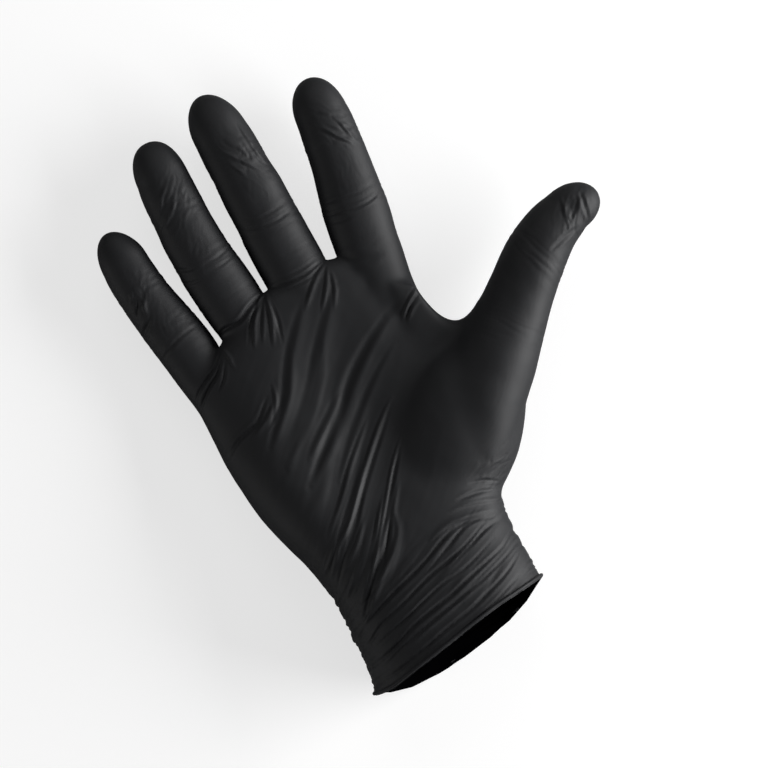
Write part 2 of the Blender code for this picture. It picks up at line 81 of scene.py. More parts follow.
# Digits. rows: (x, y, half width) from inside the palm to where the tip starts to round off. z: the
# middle's height at a y. turns: heading and reach of the zone that bends at each knuckle. borders:
# how far past a knuckle its piece of film starts.
DIGITS = {
    "index": {
        "rows": [
            (30.5, 88, 12.2), (33.5, 112, 12.8), (36, 127, 13.1), (38, 137.5, 12.3),
            (40, 149.5, 11.5), (41.5, 161.5, 11), (42, 167.5, 10.5),
        ],
        "tip": (43.5, 182.2),
        "z": [(88, 14.0), (116, 14.0), (133, 15.5), (157, 17.0), (182, 17.5)],
        "roundness": 2.0,
        "root_turn": ((0.427, 0.904), -4.0, 6.0),
        "middle_turn": (-7.0, 10.0),
        "end_turn": (-6.0, 6.0),
        "borders": (9.9, 13.0),
    },
    "middle": {
        "rows": [
            (4.6, 92, 12.3), (4.4, 110, 12.6), (4.3, 124, 13), (4.2, 136, 12.7), (4.2, 142, 12.3),
            (4.2, 154, 12.3), (4, 162, 11.7), (3.9, 172, 11.5), (3.8, 178, 11),
        ],
        "tip": (3.0, 195.6),
        "z": [(92, 14.0), (124, 14.0), (141, 16.0), (165, 18.0), (196, 18.5)],
        "roundness": 2.0,
        "root_turn": ((0.0, 1.0), -5.4, 8.0),
        "middle_turn": (-8.5, 10.0),
        "end_turn": (-6.0, 6.0),
        "borders": (8.25, 13.5),
    },
    "ring": {
        "rows": [
            (-21.5, 90, 11.4), (-22, 108, 11.7), (-23.1, 120, 12.3), (-24.1, 129, 12.2),
            (-24.9, 138, 11.8), (-25.4, 150, 11.4), (-25.2, 156, 11), (-24.9, 168, 10.8),
            (-24.4, 174, 10.3),
        ],
        "tip": (-23.7, 189.4),
        "z": [(90, 14.0), (120, 14.0), (137, 15.5), (160, 17.0), (190, 17.5)],
        "roundness": 2.2,
        "root_turn": ((-0.378, 0.926), -5.4, 6.2),
        "middle_turn": (-7.0, 10.0),
        "end_turn": (-6.0, 6.0),
        "borders": (10.7, 13.0),
    },
    "little": {
        "rows": [
            (-43.6, 82, 10.4), (-45.7, 97, 10.7), (-47.1, 110, 11.1), (-49.1, 121.5, 10.9),
            (-51.4, 133.5, 10.2), (-52.9, 145.5, 9.9), (-53.1, 151.5, 9.5),
        ],
        "tip": (-54.0, 165.9),
        "z": [(82, 13.5), (107, 13.0), (122, 14.0), (140, 15.0), (166, 15.5)],
        "roundness": 1.9,
        "root_turn": ((-0.418, 0.908), -2.6, 5.8),
        "middle_turn": (-6.0, 8.5),
        "end_turn": (-6.0, 6.0),
        "borders": (9.0, 10.4),
    },
    "thumb": {
        "rows": [
            (12, 4, 12.5), (27, 20.5, 16.5), (42.5, 39.5, 18.6), (51, 47.5, 18.2),
            (59.5, 54.5, 17), (69.5, 62.5, 14.6), (78.5, 70.5, 13.3), (88, 78.5, 12.7),
            (98, 85, 11.5), (109.5, 89.5, 9.5),
        ],
        "tip": (122.2, 90.2),
        "z": [(4, 18.0), (30, 21.5), (60, 23.0), (91, 23.0)],
        "roundness": 2.0,
        "root_turn": ((0.95, 0.31), -8.0, 9.0),
        "middle_turn": None,
        "end_turn": (-10.0, 10.0),
        "borders": (15.7,),
    },
}
PALMAR_SHARE = 0.87  # a digit's palmar and dorsal half thickness, over its half width
DORSAL_SHARE = 0.83
DIGIT_FULLNESS = 2.15  # exponent of the sections: 2 is an ellipse
LINE_STEPS = 60  # sections along a digit or the body, before the last round part
TIP_STEPS = 14
TIP_END = 0.998  # how much of the rounded tip is made, so that its last section isn't a point
DIGIT_POINTS = 40  # points round a section
THUMB_FACING = (-0.32, 0.36, 0.88)  # the way the thumb's pad faces

# The hand's body: (y, left x, right x, lowest z, highest z)
BODY_ROWS = [
    (-62, -46.0, 34.5, 1.6, 48.5), (-40, -44.3, 33.3, 1.6, 47.6), (-28, -42.5, 32.6, 1.4, 46.6),
    (-16, -42.4, 32.6, 1.0, 45.0), (-4, -41.8, 32.8, 0.6, 43.0), (2, -42.8, 34.0, 0.2, 42.4),
    (14, -45.0, 35.5, 0.0, 41.4), (26, -49.0, 38.0, 0.0, 39.6), (38, -52.2, 40.0, 0.0, 37.4),
    (50, -54.0, 41.0, 0.0, 35.0), (62, -55.0, 42.0, 0.0, 32.6), (74, -54.9, 42.5, 0.2, 30.4),
    (86, -54.8, 42.8, 0.5, 28.6), (94, -55.7, 43.0, 0.9, 27.6),
]
# The body's end, rounded off at the line of the knuckles: (share of the way there, lowest z,
# highest z)
KNUCKLE_ROWS = [(0.5, 1.4, 26.6), (0.8, 2.6, 24.6), (0.95, 4.8, 22.0), (1.0, 7.0, 19.5)]
KNUCKLE_SPREAD = 1.5  # how far the body's thumb side goes out on that way
KNUCKLE_LINE = [
    (-58, 96), (-46, 100), (-34.5, 107), (-22, 113), (-10, 117), (5, 118.5), (19.5, 116.5),
    (32, 110), (46, 100),
]
BODY_FULLNESS = 2.4
BODY_POINTS = 96
HOLLOW = ((3, 56), (25, 36), 6.0)  # centre, reach and depth of the cupped middle of the palm
HEEL = ((-38, 34), (15, 30), 2.8)  # the swelling below the little finger
# The thumb's muscle: centre, half lengths, and turn in degrees
THENAR = ((29.5, 33, 19.8), (42, 25.5, 18.6), 43)
THENAR_RINGS = 40
THENAR_POINTS = 64
THENAR_END = 0.08  # radians left out at each end

# The fold of film between the thumb and the index finger, seen from above
WEB_OUTLINE = [
    (34, 98), (42.6, 93), (43.4, 84), (45.6, 77.5), (49.0, 72.6), (53.0, 70.8), (57.5, 72.0),
    (62, 75.0), (66, 62), (56, 44), (42, 38), (30, 60),
]
WEB_Z = (16.5, 25.5)
WEB_ROUNDING = 2.2  # the height over which it draws in at its top and bottom, and to what share
WEB_SHRINK = 0.93

# The cuff's rim seen from above: (x, y) on the palm's side and on the back, and the heights that it
# runs between
NEAR_RIM = [
    (-44, -40.6), (-36, -40.6), (-24, -38.2), (-12, -35.9), (0, -33.6), (12, -31.7), (24, -30.6),
    (34, -29.6),
]
FAR_RIM = [
    (-44, -42.6), (-40, -45.3), (-32, -47.6), (-20, -48.0), (-8, -47.0), (4, -45.0), (16, -41.9),
    (24, -38.8), (34, -32.8),
]
RIM_HEIGHTS = (1.0, 46.0)
RIM_MIDDLE = (-5.0, 24.5)  # x and z of the middle of the cuff
RIM_SPAN = 9  # points of the rim on each side that the bead's line is evened out over
BEAD_RADIUS = 0.7
# In bead radii: how far the bead is outside the rim and in from it, and how far the film by the rim
# is held off the table
BEAD_OUT = 0.9
BEAD_IN = 1.5
RIM_LIFT = 2.4
RIM_NEAR = (9.0, 1.0)  # how far from the rim it starts to be held, and is held fully
BEAD_STEP = 3  # every which point of the rim is used for the bead

CUFF_START = 13.4  # y where the cuff's piece of film starts
CUFF_TURN = (13.0, -12.0)  # y where the wrist starts and ends its bend

# Looks
FILM_COLOUR = (0.006, 0.0064, 0.0079)
FILM_ROUGHNESS = 0.64
FILM_IOR = 1.45
GRAIN_SCALE = 1900
GRAIN_DETAIL = 3
GRAIN_STRENGTH = 0.12
GRAIN_HEIGHT = 0.00008
# painted shade: the cuff's inside is coloured far darker than the film, standing in for the shade inside
# it
INSIDE_PAINTED_SHADE_COLOUR = (0.0008, 0.0008, 0.001)
FLOOR_COLOUR = (0.42, 0.42, 0.42)
FLOOR_ROUGHNESS = 0.9
FLOOR_GLOW = 0.68
FLOOR_REACH = 4  # metres
FLOOR_DROP = 0.0004
WORLD_GLOW = 0.05  # what lights the glove
WORLD_SEEN = 0.9  # what the camera sees beyond that
AIM_HEIGHT = 15
# Lights: (name, metres to the picture's right, up and towards the camera, size, power)
LIGHTS = [
    ("key", (1.15, 0.15, 0.4), (1.3, 0.7), 33),
    ("edge", (-1.1, -0.55, 0.4), (0.8, 0.5), 3.0),
    ("top", (-0.25, 1.1, 0.9), (0.9, 0.9), 3.2),
]

# The CAD nodes that each piece stands for
REPLACES = {
    "palm_film": ["palm_face", "hand_back"],
    "cuff_film": ["wrist_fold", "cuff_sleeve"],
    "thumb_root_film": ["thumb_root_fold", "thumb_proximal"],
    "thumb_end_film": ["thumb_end_fold", "thumb_tip"],
}
for finger in ("index", "middle", "ring", "little"):
    REPLACES[f"{finger}_root_film"] = [f"{finger}_root_fold", f"{finger}_proximal"]
    REPLACES[f"{finger}_middle_film"] = [f"{finger}_middle_fold", f"{finger}_middle"]
    REPLACES[f"{finger}_end_film"] = [f"{finger}_end_fold", f"{finger}_tip"]


# ---- numbers ----


def smoothstep(x, low, high):
    """0 at low and 1 at high, with a smooth way between them. low may be above high."""
    t = np.clip((np.asarray(x, float) - low) / (high - low), 0.0, 1.0)
    return t * t * (3 - 2 * t)


def hump(x, y, middle, reach):
    """1 at one place, and falling towards 0 over its reach in x and in y."""
    return np.exp(-(((x - middle[0]) / reach[0]) ** 2) - ((y - middle[1]) / reach[1]) ** 2)


def noise(points, seed):
    """Smooth noise from about -1 to 1 with features one unit apart."""
    cell = np.floor(points).astype(np.int64)
    part = points - cell
    fade = part**3 * (part * (part * 6 - 15) + 10)
    total = np.zeros(len(points))
    for corner in np.ndindex(2, 2, 2):
        at = cell + corner
        h = at[:, 0] * 374761393 + at[:, 1] * 668265263 + at[:, 2] * 1103515245 + seed * 362437
        h = (h ^ (h >> 13)) * 1274126177
        h = h ^ (h >> 16)
        turn = (h & 4095) / 4095 * 2 * math.pi
        up = ((h >> 12) & 4095) / 4095 * 2 - 1
        flat = np.sqrt(1 - up * up)
        away = part - corner
        slope = away[:, 0] * flat * np.cos(turn) + away[:, 1] * flat * np.sin(turn)
        slope = slope + away[:, 2] * up
        weight = np.prod(np.where(corner, fade, 1 - fade), axis=1)
        total += weight * slope
    return total * 1.7


def through(points, count):
    """A smooth line through points, as that many new points."""
    points = np.asarray(points, float)
    step = np.linalg.norm(np.diff(points, axis=0), axis=1)
    mark = np.concatenate([[0], np.cumsum(step)])
    ends = np.vstack([2 * points[0] - points[1], points, 2 * points[-1] - points[-2]])
    place = np.linspace(0, mark[-1], count)
    i = np.clip(np.searchsorted(mark, place, side="right") - 1, 0, len(points) - 2)
    t = ((place - mark[i]) / (mark[i + 1] - mark[i]))[:, None]
    a, b, c, d = ends[i], ends[i + 1], ends[i + 2], ends[i + 3]
    square, cube = 2 * a - 5 * b + 4 * c - d, 3 * b - a - 3 * c + d
    return 0.5 * (2 * b + (c - a) * t + square * t**2 + cube * t**3)


def unit(v):
    v = np.asarray(v, float)
    return v / np.linalg.norm(v)


def to_world(points):
    return np.asarray(points) * MM + HAND


# ---- solids ----


def add_mesh(name, points, faces):
    """A mesh object from points in millimetres in the hand frame."""
    mesh = bpy.data.meshes.new(name)
    mesh.from_pydata((np.asarray(points) * MM).tolist(), [], faces)
    mesh.validate()
    obj = bpy.data.objects.new(name, mesh)
    bpy.context.scene.collection.objects.link(obj)
    return obj


def ring_solid(name, rings):
    """A closed solid over rings of points, with its ends closed on their middles."""
    count = len(rings[0])
    points = [p for ring in rings for p in ring]
    faces = []
    for row in range(len(rings) - 1):
        for i in range(count):
            j = (i + 1) % count
            low, high = row * count, (row + 1) * count
            faces.append((low + i, low + j, high + j, high + i))
    for ring, row, turn in ((rings[0], 0, -1), (rings[-1], len(rings) - 1, 1)):
        pole = len(points)
        points.append(np.mean(ring, axis=0))
        for i in range(count):
            j = (i + 1) % count
            faces.append((row * count + i, row * count + j, pole)[::turn])
    return add_mesh(name, points, faces)


def digit_line(name):
    """(place, half width) along a digit, every millimetre or so, with the tip rounded off."""
    spec = DIGITS[name]
    heights = np.array(spec["z"])
    power = spec["roundness"]
    fine = through(spec["rows"], LINE_STEPS)
    start = fine[-1]
    tip = np.array(spec["tip"])
    share = np.minimum(np.sin(np.linspace(0, math.pi / 2, TIP_STEPS))[1:], TIP_END)
    rounded = []
    for s in share:
        place = start[:2] + (tip - start[:2]) * s
        rounded.append((*place, start[2] * (1 - s**power) ** (1 / power)))
    line = np.vstack([fine, rounded])
    z = np.interp(line[:, 1], heights[:, 0], heights[:, 1])
    return np.column_stack([line[:, 0], line[:, 1], z]), line[:, 2]


def knuckles_of(name):
    return ["root", "end"] if name == "thumb" else ["root", "middle", "end"]


def bone_line(name):
    """The digit's joints and the end of its tip, in the hand frame."""
    ends = [np.array(joints[f"{name}_{label}_bend"]["pos_m"]) for label in knuckles_of(name)]
    places, _ = digit_line(name)
    return np.array([(end - HAND) / MM for end in ends] + [places[-1]])


def digit_solid(name):
    places, halves = digit_line(name)
    facing = np.array(THUMB_FACING if name == "thumb" else (0.0, 0.0, 1.0))
    power = 2 / DIGIT_FULLNESS
    tangents = np.gradient(places, axis=0)
    rings = []
    for place, half, along in zip(places, halves, tangents):
        along = along / np.linalg.norm(along)
        side = np.cross(along, facing)
        side /= np.linalg.norm(side)
        pad = np.cross(side, along)
        ring = []
        for k in range(DIGIT_POINTS):
            turn = 2 * math.pi * k / DIGIT_POINTS
            c, s = math.cos(turn), math.sin(turn)
            share = PALMAR_SHARE if s > 0 else DORSAL_SHARE
            c = math.copysign(abs(c) ** power, c)
            s = math.copysign(abs(s) ** power, s)
            ring.append(place + half * (c * side + s * share * pad))
        rings.append(ring)
    return ring_solid(name, rings)


def knuckle_y(x):
    line = np.array(KNUCKLE_LINE)
    return np.interp(x, line[:, 0], line[:, 1])


def body_ring(y, left, right, low, high, towards=0.0):
    """One section of the hand's body, bent towards the line of the knuckles by a share."""
    turn = np.linspace(0, 2 * math.pi, BODY_POINTS, endpoint=False)
    power = 2 / BODY_FULLNESS
    c, s = np.cos(turn), np.sin(turn)
    x = (left + right) / 2 + (right - left) / 2 * np.sign(c) * np.abs(c) ** power
    z = (low + high) / 2 + (high - low) / 2 * np.sign(s) * np.abs(s) ** power
    here = y + towards * (knuckle_y(x) - y)
    for (middle, reach, depth), way in ((HOLLOW, -1), (HEEL, 1)):
        near = hump(x, here, middle, reach)
        z = z + np.where(s > 0, way * depth * near * np.clip(s * 2, 0, 1), 0)
    return np.column_stack([x, here, z])


def body_solid():
    rings = [body_ring(*row) for row in through(BODY_ROWS, LINE_STEPS)]
    y, left, right = BODY_ROWS[-1][:3]
    for share, low, high in KNUCKLE_ROWS:
        rings.append(body_ring(y, left, right + KNUCKLE_SPREAD * share, low, high, share))
    return ring_solid("body", rings)


def web_solid():
    """The film between the thumb and the index finger."""
    outline = np.array(WEB_OUTLINE, float)
    middle = outline.mean(axis=0)
    low, high = WEB_Z
    levels = [(low, WEB_SHRINK), (low + WEB_ROUNDING, 1.0)]
    levels += [(high - WEB_ROUNDING, 1.0), (high, WEB_SHRINK)]
    rings = []
    for z, shrink in levels:
        flat = middle + (outline - middle) * shrink
        rings.append(np.column_stack([flat, np.full(len(flat), z)]))
    return ring_solid("web", rings)


def thenar_solid():
    """The thumb's muscle, an egg lying along it."""
    centre, (long, wide, high), turn = THENAR
    c, s = math.cos(math.radians(turn)), math.sin(math.radians(turn))
    end = math.pi / 2 - THENAR_END
    around = np.linspace(0, 2 * math.pi, THENAR_POINTS, endpoint=False)
    rings = []
    for lat in np.linspace(-end, end, THENAR_RINGS):
        a = long * math.sin(lat) * np.ones(THENAR_POINTS)
        b = -wide * math.cos(lat) * np.cos(around)
        up = high * math.cos(lat) * np.sin(around)
        rings.append(np.array(centre) + np.column_stack([a * c - b * s, a * s + b * c, up]))
    return ring_solid("thenar", rings)


# ---- skin ----


def one_skin(solids):
    """The points and four-sided faces of one even skin round all the solids."""
    bpy.ops.object.select_all(action="DESELECT")
    for obj in solids:
        obj.select_set(True)
    bpy.context.view_layer.objects.active = solids[0]
    bpy.ops.object.join()
    joined = solids[0]
    remesh = joined.modifiers.new("skin", "REMESH")
    remesh.mode = "VOXEL"
    remesh.voxel_size = SKIN_VOXEL * MM
    bpy.context.view_layer.update()
    evaluated = joined.evaluated_get(bpy.context.evaluated_depsgraph_get())
    mesh = evaluated.to_mesh()
    points = np.empty(len(mesh.vertices) * 3)
    mesh.vertices.foreach_get("co", points)
    sides = np.empty(len(mesh.polygons), int)
    mesh.polygons.foreach_get("loop_total", sides)
    loops = np.empty(len(mesh.loops), int)
    mesh.loops.foreach_get("vertex_index", loops)
    evaluated.to_mesh_clear()
    bpy.data.objects.remove(joined)
    assert (sides == 4).all()
    return points.reshape(-1, 3) / MM, loops.reshape(-1, 4)


def normals_of(points, faces):
    """The skin's normal at each point, from all the faces round it."""
    a = points[faces[:, 2]] - points[faces[:, 0]]
    b = points[faces[:, 3]] - points[faces[:, 1]]
    flat = np.cross(a, b)
    total = np.zeros_like(points)
    for corner in range(4):
        for k in range(3):
            total[:, k] += np.bincount(faces[:, corner], flat[:, k], len(points))
    return total / np.maximum(np.linalg.norm(total, axis=1, keepdims=True), 1e-12)


def sides_of(faces):
    """The two points of each side of each face."""
    return np.concatenate([faces[:, [k, (k + 1) % 4]] for k in range(4)])


def relaxed(values, edges, rounds, strength):
    """Values at the points, evened out with their neighbours, by a strength for each point."""
    count = len(values)
    degree = np.bincount(edges.ravel(), minlength=count)[:, None]
    strength = np.broadcast_to(np.asarray(strength, float).reshape(-1, 1), (count, 1))
    for _ in range(rounds):
        total = np.empty_like(values)
        for k in range(values.shape[1]):
            total[:, k] = np.bincount(edges[:, 0], values[edges[:, 1], k], count)
            total[:, k] += np.bincount(edges[:, 1], values[edges[:, 0], k], count)
        values = values + strength * (total / degree - values)
    return values


def shaped_skin():
    """The smooth skin of the worn hand, before its creases."""
    solids = [body_solid(), thenar_solid(), web_solid()] + [digit_solid(name) for name in DIGITS]
    points, faces = one_skin(solids)
    edges = np.unique(np.sort(sides_of(faces), axis=1), axis=0)
    points = relaxed(points, edges, SKIN_ROUNDS, SKIN_STRENGTH)

    # the places where the solids meet are evened out more
    x, y, _ = points.T
    web, thenar = hump(x, y, *WEB_MEETS), hump(x, y, *THENAR_MEETS)
    roots = 0.5 * np.exp(-(((y - knuckle_y(x) + 3) / 7) ** 2))
    roots = roots * smoothstep(-np.abs(x + 8), -58, -50)
    strength = np.clip(0.75 * web + 0.75 * thenar + 0.3 * roots, 0, 0.75)
    points = relaxed(points, edges, MEET_ROUNDS, strength)
    points[:, 2] = np.maximum(points[:, 2], 0.0)
    return points, faces


# ---- creases ----

# Tension folds of the palm: ("ridge" or "groove", height, half width, places it runs through)
PALM_FOLDS = [
    ("ridge", 0.62, 2.1, [(3, 106), (-5, 97), (-14, 86), (-20, 76), (-28, 68), (-34.5, 62)]),
    ("groove", 0.35, 1.4, [(-12, 93), (-18.5, 82.3), (-24, 75), (-30.5, 68), (-36, 62)]),
    ("ridge", 0.62, 2.3, [(15, 104), (5, 93), (-3, 83), (-9, 75), (-18, 66), (-27, 57.5), (-32.7, 52)]),
    ("groove", 0.3, 1.4, [(0, 88), (-7, 78), (-13, 71.5), (-22, 62.5), (-31, 55.5)]),
    ("ridge", 0.62, 2.4, [(38, 88), (24, 82), (8, 71), (-3, 61), (-15, 51), (-27.6, 42)]),
    ("groove", 0.5, 1.8, [(26, 85.5), (14, 78.5), (3, 70.3), (-6, 61.4), (-18, 51.3), (-29.5, 42)]),
    ("ridge", 0.6, 1.6, [(-2.8, 67.4), (-9, 62), (-16, 56.9), (-24, 51.5)]),
    ("ridge", 0.5, 1.6, [(24, 74), (14, 67), (3, 58), (-8, 48), (-18, 38)]),
    ("ridge", 0.62, 0.9, [(14.5, 57.5), (5, 50), (-5, 40.5), (-16, 29.5), (-29, 16.5)]),
    ("groove", 0.45, 0.8, [(13.4, 55.5), (5, 47.5), (-5, 38), (-16, 27), (-28, 14.5)]),
    ("ridge", 0.6, 0.9, [(2, 54), (-11, 42), (-20.5, 32), (-31, 22.5)]),
    ("ridge", 0.5, 0.8, [(-4, 44), (-14, 33), (-24, 23), (-33, 15)]),
    ("ridge", 0.65, 0.55, [(10.5, 42.5), (2.4, 34), (-7.4, 21.5), (-16, 10.5), (-24, 1), (-33, -9)]),
    ("groove", 0.55, 0.8, [(8, 38.5), (0.5, 30), (-9, 18.5), (-20.5, 4)]),
    ("ridge", 0.5, 0.7, [(2, 28), (-5, 19), (-12, 9), (-19, 0)]),
    ("ridge", 0.7, 1.2, [(-5, 17.5), (-7.4, 11), (-13.5, 4), (-22, -2.5), (-30, -10), (-36, -16)]),
    ("groove", 0.8, 1.2, [(-6.5, 17), (-10.8, 12), (-15.3, 6.6), (-23.7, 0), (-33, -10.5)]),
    ("ridge", 0.55, 0.7, [(-9, 36), (-21, 23.5), (-30, 16.5), (-38.5, 7)]),
    ("groove", 0.4, 0.6, [(-12, 30), (-22, 19), (-31, 11), (-38, 3)]),
    ("ridge", 0.5, 0.6, [(-17, 21), (-24.2, 13.5), (-33, 7)]),
    ("ridge", 0.5, 0.6, [(-7, 25), (-14.6, 15.3), (-22, 7), (-31, -1.5)]),
    ("groove", 0.4, 0.6, [(-11, 21), (-18, 11), (-28, 1), (-35, -4)]),
    ("ridge", 0.45, 0.6, [(-25, 9), (-31, 3), (-38, -3.5)]),
    ("ridge", 0.4, 0.6, [(-29, 20), (-35, 14), (-41, 9)]),
    ("groove", 0.6, 0.8, [(-28, 79.8), (-36, 73), (-44.8, 70.5), (-52.5, 66)]),
    ("ridge", 0.55, 0.9, [(-26.5, 76.5), (-33, 71.5), (-40, 68.5)]),
    ("ridge", 0.35, 0.6, [(-25, 74), (-29, 70.5), (-33, 68)]),
    ("ridge", 0.35, 0.6, [(-23.5, 84), (-25.5, 77), (-29, 71)]),
    ("ridge", 0.7, 0.8, [(-11.6, 116), (-17.9, 108.4), (-23.3, 99.2)]),
    ("groove", 0.45, 0.6, [(-12.5, 114), (-19.6, 108.4), (-25, 101)]),
    ("ridge", 0.65, 0.8, [(-9.9, 115), (-12.3, 105.4), (-16.4, 96.6)]),
    ("ridge", 0.45, 0.6, [(-11, 114), (-15, 107), (-19.5, 99)]),
    ("groove", 0.35, 0.5, [(-9.5, 113), (-10.5, 104), (-13, 95)]),
    ("groove", 1.0, 0.8, [(-10.7, 116.6), (-17.7, 113.8), (-23.9, 110.8), (-31, 110.8), (-36, 109)]),
    ("ridge", 0.35, 0.6, [(-35.5, 106), (-34, 101), (-34, 95)]),
    ("groove", 0.8, 0.6, [(-36.7, 101.5), (-41.1, 96.6), (-47, 93), (-54, 87)]),
    ("groove", 0.6, 0.5, [(-36, 104), (-41, 99), (-48.5, 95.5), (-55, 90)]),
    ("groove", 0.45, 0.5, [(-35.8, 99.5), (-39.5, 94), (-44, 90)]),
    ("groove", 0.8, 0.6, [(-8.3, 117), (-1.6, 115.1), (7, 114.9), (14.5, 116.5)]),
    ("groove", 0.5, 0.5, [(-7, 113.9), (0, 112.7), (8, 112.9), (14.5, 115)]),
    ("groove", 0.3, 0.5, [(-5, 119), (2, 117.4), (9, 117.6), (14, 118.8)]),
    ("ridge", 0.6, 0.8, [(15.7, 115), (9, 110.5), (1, 103)]),
    ("ridge", 0.5, 0.7, [(16.5, 114), (12, 106.5), (6, 99)]),
    ("ridge", 0.4, 0.6, [(16.8, 112), (15, 105), (11, 98)]),
    ("groove", 0.35, 1.6, [(21.5, 115), (29.7, 109.8), (37, 108)]),
    ("ridge", 0.6, 0.7, [(43.4, 90.5), (38.5, 87.2), (32, 82.2)]),
    ("groove", 0.55, 0.6, [(43, 88), (38, 85.6), (33, 81)]),
    ("ridge", 0.4, 0.6, [(42, 85.5), (37.5, 83.6), (33.5, 80)]),
    ("groove", 0.5, 0.7, [(-3, -2.5), (9.4, 1.4), (18, 2), (28, -1.5)]),
    ("ridge", 0.6, 0.9, [(2, 2.5), (11, 4.6), (20, 3.6), (29, 1)]),
    ("ridge", 0.45, 0.8, [(14, 8.5), (22, 7.6), (29, 5), (35, 2)]),
    ("groove", 0.55, 0.7, [(18, 11), (26, 10), (33, 7.5)]),
    ("groove", 0.45, 0.6, [(25, 14.5), (31, 12.5), (36, 9.5)]),
]
# Pleats of the wrist and cuff
WRIST_FOLDS = [
    (
        "groove", 0.75, 0.6,
        [(-41, -19.5), (-34.4, -14.7), (-20.4, -8.9), (-8.6, -5.3), (3.7, -0.9), (12, 3)],
    ),
    (
        "groove", 0.8, 0.6,
        [(-40, -24), (-30, -17.4), (-17.4, -13.4), (-3.9, -9.1), (10.5, -6.2), (24, -1)],
    ),
    (
        "groove", 0.55, 0.5,
        [(-37, -25.4), (-29.4, -21.7), (-17.2, -18.4), (-4, -14.6), (10.3, -12.4), (24, -8)],
    ),
    (
        "groove", 0.85, 0.6,
        [(-40, -30.7), (-29.5, -27.2), (-18, -22.9), (-1.6, -19.5), (11.5, -16), (25.5, -12.5), (31, -9)],
    ),
    (
        "groove", 0.6, 0.5,
        [(-38, -33), (-24.3, -27.6), (-6.9, -23.9), (11.4, -20), (24.6, -16.5), (31, -14)],
    ),
    (
        "groove", 0.8, 0.6,
        [(-37, -36.5), (-25.3, -34), (-10.5, -30.3), (2.5, -27.7), (13, -24.7), (22.7, -21.5), (31, -17)],
    ),
    (
        "groove", 0.55, 0.45,
        [(-34, -38.5), (-18.9, -36.6), (-5, -34), (10.3, -30), (18.6, -27.4), (31, -23.5)],
    ),
    ("groove", 0.5, 0.45, [(-31, -39.7), (-16.7, -38), (-2.8, -35.9), (12, -32.8), (30.4, -28)]),
    ("ridge", 0.4, 0.5, [(-27, -30.5), (-12, -26), (4, -22.4), (16, -18.5)]),
    ("ridge", 0.4, 0.5, [(-24, -20), (-10, -15.5), (3, -12)]),
    ("groove", 0.6, 0.5, [(-5, -7.5), (6, -3), (15, 0.5), (24, 1)]),
    ("groove", 0.6, 0.5, [(4, -9.8), (14, -6.4), (24, -3.5), (31, -3)]),
]
# Creases of the digits, on the pad's side
DIGIT_FOLDS = [
    ("groove", 0.55, 0.5, [(22.5, 131.5), (29.3, 130), (36, 128.3), (43.8, 128.5), (49.4, 131)]),
    ("groove", 0.3, 0.5, [(25, 136), (31, 134.5), (38, 133.4), (43.5, 132.6)]),
    ("groove", 0.3, 0.5, [(23, 128.5), (30, 126.4), (35, 125.8)]),
    ("ridge", 0.45, 0.7, [(38.8, 162.3), (42.6, 157), (47.9, 150.3)]),
    ("ridge", 0.35, 0.6, [(41, 167.6), (46.7, 163.6)]),
    ("ridge", 0.4, 0.6, [(46.4, 160.5), (48.6, 152.3)]),
    ("groove", 0.4, 0.5, [(-8, 142.6), (-4, 140.6), (2, 138.6), (8.5, 138.3), (15.6, 140)]),
    ("groove", 0.3, 0.5, [(-6, 144.6), (3, 142.2), (14, 142.6)]),
    ("ridge", 0.45, 0.7, [(1.5, 170.6), (6.1, 164.8), (11.2, 157.8)]),
    ("ridge", 0.35, 0.6, [(1.4, 166.2), (5.1, 158.8)]),
    ("ridge", 0.4, 0.7, [(11.6, 178), (12.6, 168.1), (13.9, 160)]),
    ("groove", 0.35, 0.5, [(-13.5, 138.4), (-19, 136.8), (-26, 136.4)]),
    ("groove", 0.35, 0.5, [(-14, 134.4), (-20, 133.2), (-25, 133.4)]),
    ("groove", 0.4, 0.6, [(-36.5, 134.5), (-33, 132.6), (-29, 131.8)]),
    ("groove", 0.4, 0.6, [(-36.5, 141), (-33, 138), (-28, 136.8)]),
    ("ridge", 0.4, 0.7, [(-33, 160), (-28, 166), (-22, 172)]),
    ("ridge", 0.4, 0.7, [(-34, 155), (-27, 160), (-22, 166)]),
    ("groove", 0.4, 0.6, [(-38.5, 117.6), (-42.4, 117), (-49.8, 115.2), (-58.5, 111)]),
    ("groove", 0.6, 0.8, [(-53, 128.6), (-57, 125.4), (-61, 122)]),
    ("groove", 0.5, 0.8, [(-54.5, 136.4), (-58.5, 130)]),
    ("ridge", 0.5, 0.8, [(-52.8, 136), (-54.6, 130.1)]),
    ("ridge", 0.45, 0.8, [(108, 94), (106.4, 88), (105, 83)]),
    ("ridge", 0.4, 0.7, [(114.6, 92), (110.9, 87.1), (104.7, 82.7)]),
    ("groove", 0.45, 0.7, [(115.6, 93), (114.4, 87.5), (113.4, 82)]),
    ("groove", 0.45, 0.8, [(94.5, 78.3), (103.2, 80.6), (108.5, 81.6)]),
]
# Patches of small wrinkles where the film is slack: middle, heading in degrees, half length, half
# width and height
SLACK_PATCHES = [
    ((45.0, 159.0), -55, 10.0, 6.5, 0.26),
    ((9.5, 166.0), -57, 11.0, 7.0, 0.30),
    ((-24.0, 163.0), 50, 12.0, 7.0, 0.28),
    ((-25.0, 144.0), 60, 9.0, 6.0, 0.10),
    ((-55.0, 136.0), 58, 9.0, 6.0, 0.28),
    ((-50.0, 122.0), 70, 7.0, 5.0, 0.14),
    ((109.5, 87.0), 55, 10.0, 6.5, 0.26),
    ((37.5, 14.0), 20, 8.0, 8.0, 0.20),
    ((40.0, 141.0), 80, 10.0, 6.0, 0.07),
    ((4.0, 150.0), 80, 9.0, 6.0, 0.07),
]
FOLD_STEPS = 24  # points along a fold
GROOVE_DIP = 0.38  # how far the skin goes the other way beside a fold, over its height
RIDGE_DIPS = (0.45, 0.1)  # the same on a ridge's steep side and its other side
